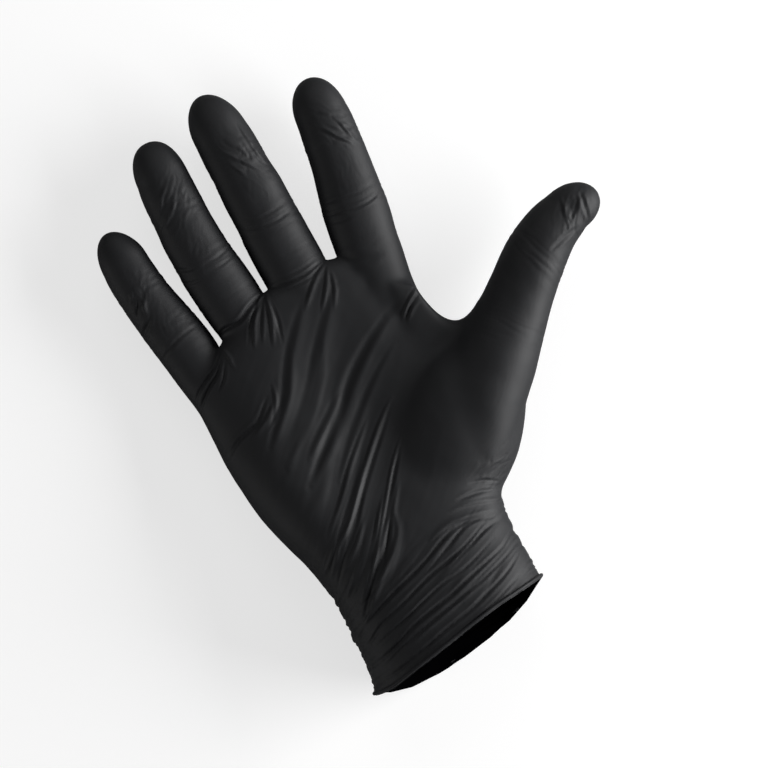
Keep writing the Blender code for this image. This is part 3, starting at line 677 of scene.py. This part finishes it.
RIDGE_WIDTHS = (0.75, 1.4)
FACING = (0.02, 0.4)  # how far up the skin has to face for a fold to start and to be whole
# Pleats of the cuff: (distance between them, depth, seed)
PLEATS = ((4.6, 0.75, 11), (2.7, 0.45, 12))
SLACK_PULL = (0.70, 0.71)  # the way the palm's slack film is pulled
SLACK_AREA = ((-16, 48), (26, 42))  # its middle and reach
SLACK_HEIGHT = 0.38
HEEL_AREA = ((-27, 10), (14, 15))
HEEL_HEIGHT = 0.3
CORD_HEIGHT = 0.30
UNEVEN = ((17, 0.22, 51), (6, 0.07, 52))  # size, height and seed of what is uneven everywhere
# The rings round the knuckles: how far each reaches along the digit, and how deep the first and the
# others are
RING_REACH = (5.0, 6.5, 5.0)
THUMB_RING_REACH = (7.0, 6.0)
RING_AROUND = 19  # how far from the digit's middle a ring may be
ROOT_RING_DEPTH = 0.10
RING_DEPTH = 0.20
# Seeds of the other noise
PLEAT_SWAY_SEED = 3
SLACK_SWAY_SEED, SLACK_SEED, SLACK_FINE_SEED, HEEL_SEED = 21, 22, 23, 25
CORD_SEED = 31
RING_SWAY_SEED, RING_SEED = 41, 45
PATCH_SWAY_SEED, PATCH_SEED = 61, 81


def fold_height(points, facing, kind, height, half, places):
    """How far one fold lifts the skin at each point that faces up.

    A ridge is steep on the side to the right of its line, and each fold dips on both its sides.
    """
    line = through(places, FOLD_STEPS)
    low, high = line.min(axis=0) - 4 * half, line.max(axis=0) + 4 * half
    boxed = ((points[:, :2] > low) & (points[:, :2] < high)).all(axis=1)
    near = np.flatnonzero((facing > FACING[0]) & boxed)
    place = points[near, :2]
    best = np.full(len(near), np.inf)
    along, steep = np.zeros(len(near)), np.zeros(len(near), bool)
    for i, (a, b) in enumerate(zip(line, line[1:])):
        step = b - a
        off = place - a
        t = np.clip(off @ step / (step @ step), 0, 1)
        gap = np.linalg.norm(off - t[:, None] * step, axis=1)
        closer = gap < best
        best[closer] = gap[closer]
        along[closer] = ((i + t) / (len(line) - 1))[closer]
        steep[closer] = (step[0] * off[:, 1] < step[1] * off[:, 0])[closer]
    taper = np.sin(math.pi * np.clip(along, 0.02, 0.98)) ** 0.6
    thin = half * (0.45 + 0.55 * taper)
    dip = GROOVE_DIP
    if kind == "ridge":
        thin = thin * np.where(steep, *RIDGE_WIDTHS)
        dip = np.where(steep, *RIDGE_DIPS)
    u = best / thin
    crest = np.exp(-(u**1.6)) - dip * np.exp(-((u - 2.0) ** 2) / 0.7)
    way = 1 if kind == "ridge" else -1
    lifted = np.zeros(len(points))
    lifted[near] = way * height * taper * crest * smoothstep(facing[near], *FACING)
    return lifted


def wrinkles(n, swell, cut, width, rise):
    """Rounded swellings, with sharp lines between them where the noise passes 0."""
    return swell * n - cut * np.exp(-((n / width) ** 2)) + rise


def wrist_pleats(points, up):
    """Pleats round the wrist and cuff, fanning out from the little finger's side."""
    x, y, z = points.T
    slope = (NEAR_RIM[-1][1] - NEAR_RIM[0][1]) / (NEAR_RIM[-1][0] - NEAR_RIM[0][0])
    above = y - NEAR_RIM[0][1] - slope * (x - NEAR_RIM[0][0])
    sway = noise(np.column_stack([x / 30, y / 30, z / 26]), PLEAT_SWAY_SEED)
    across = above / (1 + 0.011 * (x + 39)) + 1.1 * sway
    pleats = np.zeros(len(points))
    for step, depth, seed in PLEATS:
        n = noise(np.column_stack([x / 48, across / step, z / 42]), seed)
        pleats += depth * wrinkles(n, 0.45, 0.8, 0.13, 0.25)
    start, end = 10 + 0.05 * x, -4 + 0.05 * x
    return smoothstep(y, start, end) * (1 - 0.6 * smoothstep(up, 0.3, 0.8)) * pleats


def palm_slack(points, up):
    """Slack film in the middle of the palm, and finer where the folds gather towards the wrist."""
    x, y, z = points.T
    along = x * SLACK_PULL[0] + y * SLACK_PULL[1]
    aside = -x * SLACK_PULL[1] + y * SLACK_PULL[0]
    aside = aside + 1.6 * noise(np.column_stack([x / 22, y / 22, z / 22]), SLACK_SWAY_SEED)
    slack = noise(np.column_stack([along / 34, aside / 5.5, z / 40]), SLACK_SEED)
    slack += 0.5 * noise(np.column_stack([along / 22, aside / 2.8, z / 40]), SLACK_FINE_SEED)
    middle = hump(x, y, *SLACK_AREA) * smoothstep(up, 0.1, 0.6)
    heel = hump(x, y, *HEEL_AREA) * smoothstep(up, 0.1, 0.6)
    fine = noise(np.column_stack([along / 34, aside / 3.0, z / 40]), HEEL_SEED)
    return (
        SLACK_HEIGHT * middle * slack * smoothstep(y, 2, 14),
        HEEL_HEIGHT * heel * wrinkles(fine, 0.6, 0.8, 0.16, 0.25),
    )


def add_slack_patches(lift, points, up):
    """Small wrinkles on the pads, each patch with its own heading."""
    x, y, z = points.T
    for number, ((cx, cy), heading, length, width, height) in enumerate(SLACK_PATCHES):
        turn = math.radians(heading)
        run = (x - cx) * math.cos(turn) + (y - cy) * math.sin(turn)
        side = (y - cy) * math.cos(turn) - (x - cx) * math.sin(turn)
        inside = (np.abs(run) < 2.2 * length) & (np.abs(side) < 2.2 * width) & (up > FACING[0])
        run, side, high = run[inside], side[inside], z[inside]
        sway = noise(np.column_stack([run / 7, side / 7, high / 9]), PATCH_SWAY_SEED + number)
        bent = side + 1.2 * sway
        n = noise(np.column_stack([run / 9, bent / 1.9, high / 12]), PATCH_SEED + number)
        weight = hump(run, side, (0, 0), (length, width)) * smoothstep(up[inside], 0.05, 0.5)
        lift[inside] += height * weight * wrinkles(n, 0.8, 1.1, 0.15, 0.3)


def add_knuckle_rings(lift, points):
    """Creases right round each knuckle."""
    for name in DIGITS:
        bones = bone_line(name)
        for k, reach in enumerate(THUMB_RING_REACH if name == "thumb" else RING_REACH):
            on = bones[k + 1] - bones[k]
            on = on / np.linalg.norm(on)
            rel = points - bones[k]
            s = rel @ on
            away = np.linalg.norm(rel - s[:, None] * on, axis=1)
            inside = (away < RING_AROUND) & (np.abs(s) < 3 * reach)
            rel, s_in = rel[inside], s[inside]
            wave = s_in + 0.8 * noise(points[inside] / 7, RING_SWAY_SEED + k)
            n = noise(np.column_stack([rel[:, 0] / 16, wave / 2.1, rel[:, 2] / 16]), RING_SEED + k)
            depth = RING_DEPTH if k else ROOT_RING_DEPTH
            amount = np.exp(-((s_in / reach) ** 2)) * depth
            lift[inside] += amount * (np.minimum(np.abs(n) * 2.4, 1.0) ** 0.7 - 0.65)


def crease(points, normals):
    """How far the skin is lifted along its normal, in millimetres."""
    x, y, z = points.T
    up = normals[:, 2]
    lift = np.zeros(len(points))
    for fold in PALM_FOLDS + WRIST_FOLDS + DIGIT_FOLDS:
        lift += fold_height(points, up, *fold)
    lift += wrist_pleats(points, up)
    for slack in palm_slack(points, up):
        lift += slack
    add_slack_patches(lift, points, up)

    # the back of the hand, seen only where the glove is turned over or bent
    back = smoothstep(-up, 0.1, 0.6) * smoothstep(y, 8, 22) * smoothstep(y, 112, 92)
    cords = noise(np.column_stack([(x + 0.12 * y) / 7, y / 45, z / 30]), CORD_SEED)
    lift += CORD_HEIGHT * back * cords

    add_knuckle_rings(lift, points)

    # a slightly uneven film everywhere
    lift += sum(height * noise(points / size, seed) for size, height, seed in UNEVEN)
    return lift


def creased_skin():
    """The skin with its creases, lying on the table, with the cuff's edge held off it."""
    points, faces = shaped_skin()
    normals = normals_of(points, faces)
    points = points + normals * crease(points, normals)[:, None]
    points[:, 2] = np.maximum(points[:, 2], 0.0)
    held = RIM_LIFT * BEAD_RADIUS * smoothstep(points[:, 1] - rim_y(points), *RIM_NEAR)
    points[:, 2] = np.maximum(points[:, 2], held)
    return points, faces


def rim_y(points):
    """Where the film ends at the cuff, for the places round it."""
    near, far = np.array(NEAR_RIM), np.array(FAR_RIM)
    front = np.interp(points[:, 0], near[:, 0], near[:, 1])
    back = np.interp(points[:, 0], far[:, 0], far[:, 1])
    return back + (front - back) * smoothstep(points[:, 2], *RIM_HEIGHTS)


def cut_at_rim(points, faces):
    """The points with the rim's on its line, the faces that are left, and the rim's points."""
    keep = (points[faces][:, :, 1] > rim_y(points)[faces]).all(axis=1)
    faces = faces[keep]
    pairs = np.sort(sides_of(faces), axis=1)
    found, times = np.unique(pairs, axis=0, return_counts=True)
    rim = np.unique(found[times == 1])
    points[rim, 1] = rim_y(points[rim])
    return points, faces, points[rim]


def bead_line(rim):
    """A smooth closed line just outside the rim, for the bead."""
    turn = np.arctan2(rim[:, 2] - RIM_MIDDLE[1], rim[:, 0] - RIM_MIDDLE[0])
    loop = rim[np.argsort(turn)]
    wrapped = np.vstack([loop[-RIM_SPAN:], loop, loop[:RIM_SPAN]])
    kernel = np.hanning(2 * RIM_SPAN + 1)
    kernel /= kernel.sum()
    loop = np.column_stack([np.convolve(wrapped[:, k], kernel, "valid") for k in range(3)])
    loop = loop[::BEAD_STEP]
    out = loop[:, [0, 2]] - RIM_MIDDLE
    loop[:, [0, 2]] += BEAD_OUT * BEAD_RADIUS * out / np.linalg.norm(out, axis=1)[:, None]
    loop[:, 1] += BEAD_IN * BEAD_RADIUS
    loop[:, 2] = np.maximum(loop[:, 2], BEAD_RADIUS)
    return loop


# ---- sharing the skin out ----


def gap_to_line(places, line):
    """How far each place is from a line of points."""
    best = np.full(len(places), np.inf)
    for a, b in zip(line, line[1:]):
        t = np.clip((places - a) @ (b - a) / ((b - a) @ (b - a)), 0, 1)
        best = np.minimum(best, np.linalg.norm(places - a - t[:, None] * (b - a), axis=1))
    return best


def pieces_of(points, faces):
    """Each piece's faces and how it bends: name -> (mask, body, body, start, end)."""
    centre = points[faces].mean(axis=1)
    lines = {name: bone_line(name) for name in DIGITS}
    gaps = [gap_to_line(centre[:, :2], line[:, :2]) for line in lines.values()]
    nearest = np.argmin(gaps, axis=0)
    found = {}
    taken = np.zeros(len(centre), bool)
    for index, (name, bones) in enumerate(lines.items()):
        spec = DIGITS[name]
        parts = ["proximal", "tip"] if name == "thumb" else ["proximal", "middle", "tip"]
        bodies = ["palm"] + [f"{name}_{part}_body" for part in parts]

        # the heading, start and end of each knuckle's bend
        heading, low, high = spec["root_turn"]
        turns = [(unit((*heading, 0)), low, high)]
        zones = [zone for zone in (spec["middle_turn"], spec["end_turn"]) if zone]
        for k, zone in enumerate(zones):
            turns.append((unit(bones[k + 2] - bones[k]), *zone))

        # the faces past each border
        beyond = (nearest == index) & ((centre - bones[0]) @ turns[0][0] > low)
        past = [beyond]
        for k, border in enumerate(spec["borders"]):
            on = unit(bones[k + 1] - bones[k])
            past.append(beyond & ((centre - bones[k]) @ on > border))
        past.append(np.zeros(len(centre), bool))
        for k, label in enumerate(knuckles_of(name)):
            mask = past[k] & ~past[k + 1]
            way, low, high = turns[k]
            start, end = bones[k] + low * way, bones[k] + high * way
            found[f"{name}_{label}_film"] = (mask, bodies[k], bodies[k + 1], start, end)
        taken |= beyond
    cuff = ~taken & (centre[:, 1] < CUFF_START)
    start, end = (WRIST_MM + (0, y, 0) for y in CUFF_TURN)
    found["cuff_film"] = (cuff, "palm", "cuff", start, end)
    found["palm_film"] = (~taken & ~cuff, "palm", None, None, None)
    return found


def film_object(name, points, faces, normals, lined, materials):
    """A piece of the skin as an object, with a lining inside it if its inside can be seen."""
    used, index = np.unique(faces, return_inverse=True)
    faces = index.reshape(-1, 4)
    outer, ways = points[used], normals[used]
    if lined:
        count = len(outer)
        pairs = sides_of(faces)
        keys = np.sort(pairs, axis=1)
        _, first, times = np.unique(keys, axis=0, return_index=True, return_counts=True)
        a, b = pairs[first[times == 1]].T
        rim = np.column_stack([b, a, a + count, b + count])
        outside = len(faces)
        faces = np.vstack([faces, faces[:, ::-1] + count, rim])
        outer = np.vstack([outer, outer - FILM * ways])
        ways = np.vstack([ways, -ways])
    mesh = bpy.data.meshes.new(name)
    mesh.vertices.add(len(outer))
    mesh.vertices.foreach_set("co", to_world(outer).ravel().astype(np.float32))
    mesh.loops.add(faces.size)
    mesh.loops.foreach_set("vertex_index", faces.ravel().astype(np.int32))
    mesh.polygons.add(len(faces))
    mesh.polygons.foreach_set("loop_start", np.arange(0, faces.size, 4, dtype=np.int32))
    mesh.update(calc_edges=True)
    mesh.validate()
    mesh.polygons.foreach_set("use_smooth", np.ones(len(mesh.polygons), bool))
    mesh.normals_split_custom_set_from_vertices(ways.tolist())
    for material in materials:
        mesh.materials.append(material)
    if lined:
        inside = np.zeros(len(faces), np.int32)
        inside[outside:] = 1
        mesh.polygons.foreach_set("material_index", inside)
    obj = bpy.data.objects.new(name, mesh)
    bpy.context.scene.collection.objects.link(obj)
    return obj


def bead_object(loop):
    """The rolled edge of the cuff, along a closed loop of places."""
    data = bpy.data.curves.new("rim_bead", "CURVE")
    data.dimensions = "3D"
    data.bevel_depth = BEAD_RADIUS * MM
    data.bevel_resolution = 4
    spline = data.splines.new("POLY")
    spline.points.add(len(loop) - 1)
    for point, place in zip(spline.points, to_world(loop)):
        point.co = (*place, 1)
    spline.use_cyclic_u = True
    curve = bpy.data.objects.new("rim_bead_line", data)
    bpy.context.scene.collection.objects.link(curve)
    bpy.context.view_layer.update()
    evaluated = curve.evaluated_get(bpy.context.evaluated_depsgraph_get())
    mesh = bpy.data.meshes.new_from_object(evaluated)
    bpy.data.objects.remove(curve)
    mesh.shade_smooth()
    obj = bpy.data.objects.new("rim_bead", mesh)
    bpy.context.scene.collection.objects.link(obj)
    return obj


# ---- looks ----


def nitrile():
    """The black film, with the fine grain of its outside."""
    material = bpy.data.materials.new("black_nitrile")
    material.use_nodes = True
    nodes, links = material.node_tree.nodes, material.node_tree.links
    shader = nodes["Principled BSDF"]
    shader.inputs["Base Color"].default_value = (*FILM_COLOUR, 1)
    shader.inputs["Roughness"].default_value = FILM_ROUGHNESS
    shader.inputs["IOR"].default_value = FILM_IOR
    place = nodes.new("ShaderNodeTexCoord")
    grain = nodes.new("ShaderNodeTexNoise")
    grain.inputs["Scale"].default_value = GRAIN_SCALE
    grain.inputs["Detail"].default_value = GRAIN_DETAIL
    bump = nodes.new("ShaderNodeBump")
    bump.inputs["Strength"].default_value = GRAIN_STRENGTH
    bump.inputs["Distance"].default_value = GRAIN_HEIGHT
    links.new(place.outputs["Object"], grain.inputs["Vector"])
    links.new(grain.outputs["Fac"], bump.inputs["Height"])
    links.new(bump.outputs["Normal"], shader.inputs["Normal"])
    return material


def plain(name, colour, roughness):
    """A material of one colour, which others start from."""
    material = bpy.data.materials.new(name)
    material.use_nodes = True
    shader = material.node_tree.nodes["Principled BSDF"]
    shader.inputs["Base Color"].default_value = (*colour, 1)
    shader.inputs["Roughness"].default_value = roughness
    return material


def painted_shade_inside():
    """The inside of the cuff, where next to no light gets in: matte and without shine, and coloured far
    darker than the film as painted shade.
    """
    material = plain("nitrile_inside_painted_shade", INSIDE_PAINTED_SHADE_COLOUR, 1.0)
    shader = material.node_tree.nodes["Principled BSDF"]
    shader.inputs["Specular IOR Level"].default_value = 0.0
    return material


def pale_floor():
    """A white floor that is bright to look at but throws little light back up under the glove."""
    material = plain("floor_white", FLOOR_COLOUR, FLOOR_ROUGHNESS)
    nodes, links = material.node_tree.nodes, material.node_tree.links
    shader = nodes["Principled BSDF"]
    shader.inputs["Specular IOR Level"].default_value = 0.0
    shader.inputs["Emission Color"].default_value = (1, 1, 1, 1)
    path = nodes.new("ShaderNodeLightPath")
    glow = nodes.new("ShaderNodeMath")
    glow.operation = "MULTIPLY"
    glow.inputs[1].default_value = FLOOR_GLOW
    links.new(path.outputs["Is Camera Ray"], glow.inputs[0])
    links.new(glow.outputs["Value"], shader.inputs["Emission Strength"])
    return material


def aim(obj, target):
    obj.rotation_euler = (Vector(target) - obj.location).to_track_quat("-Z", "Y").to_euler()


def softbox(name, place, target, size, power):
    """A rectangular lamp that points at its target."""
    data = bpy.data.lights.new(name, "AREA")
    data.shape = "RECTANGLE"
    data.size, data.size_y = size
    data.energy = power
    lamp = bpy.data.objects.new(name, data)
    bpy.context.scene.collection.objects.link(lamp)
    lamp.location = place
    aim(lamp, target)


# ---- building ----


def add_camera():
    """Straight above the palm, as in the photo."""
    data = bpy.data.cameras.new("camera")
    data.sensor_width = SENSOR
    data.lens = SENSOR * VIEW_HEIGHT / VIEW_WIDTH
    data.clip_end = 10
    camera = bpy.data.objects.new("camera", data)
    bpy.context.scene.collection.objects.link(camera)
    bpy.context.scene.camera = camera
    camera.location = to_world((*VIEW_MIDDLE, VIEW_PLANE + VIEW_HEIGHT))
    camera.rotation_euler = (0, 0, math.atan2(VIEW_RIGHT[1], VIEW_RIGHT[0]))


def build_glove():
    points, faces, rim = cut_at_rim(*creased_skin())
    normals = normals_of(points, faces)
    # the cuff's lining gets the material with the painted shade of the inside
    material, inside = nitrile(), painted_shade_inside()
    for name, (mask, body_a, body_b, start, end) in pieces_of(points, faces).items():
        lined = name == "cuff_film"
        materials = [material, inside] if lined else [material]
        obj = film_object(name, points, faces[mask], normals, lined, materials)
        if body_b:
            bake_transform(obj)
        else:
            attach(obj, body_a)
        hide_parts(*REPLACES[name])
    bead = bead_object(bead_line(rim))
    bead.data.materials.append(material)
    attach(bead, "cuff")
    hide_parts("rolled_bead")


def add_floor():
    mesh = bpy.data.meshes.new("floor")
    ways = ((-1, -1), (1, -1), (1, 1), (-1, 1))
    corners = [(x * FLOOR_REACH, y * FLOOR_REACH, 0) for x, y in ways]
    mesh.from_pydata(corners, [], [(0, 1, 2, 3)])
    floor = bpy.data.objects.new("floor", mesh)
    bpy.context.scene.collection.objects.link(floor)
    floor.location.z = -FLOOR_DROP
    floor.data.materials.append(pale_floor())


def add_lights():
    right = np.array([*VIEW_RIGHT, 0])
    up = np.array([*VIEW_UP, 0])
    middle = to_world((*VIEW_MIDDLE, AIM_HEIGHT))
    for name, (across, along, high), size, power in LIGHTS:
        softbox(name, middle + across * right + along * up + (0, 0, high), middle, size, power)


def add_world():
    """White behind everything, with little light of its own on the glove."""
    world = bpy.data.worlds.new("studio")
    world.use_nodes = True
    nodes, links = world.node_tree.nodes, world.node_tree.links
    backdrop = nodes["Background"]
    backdrop.inputs["Color"].default_value = (1, 1, 1, 1)
    seen = nodes.new("ShaderNodeLightPath")
    glow = nodes.new("ShaderNodeMath")
    glow.operation = "MULTIPLY_ADD"
    glow.inputs[1].default_value = WORLD_SEEN
    glow.inputs[2].default_value = WORLD_GLOW
    links.new(seen.outputs["Is Camera Ray"], glow.inputs[0])
    links.new(glow.outputs["Value"], backdrop.inputs["Strength"])
    bpy.context.scene.world = world
    bpy.context.scene.view_settings.view_transform = "Standard"


add_camera()
build_glove()
add_floor()
add_lights()
add_world()
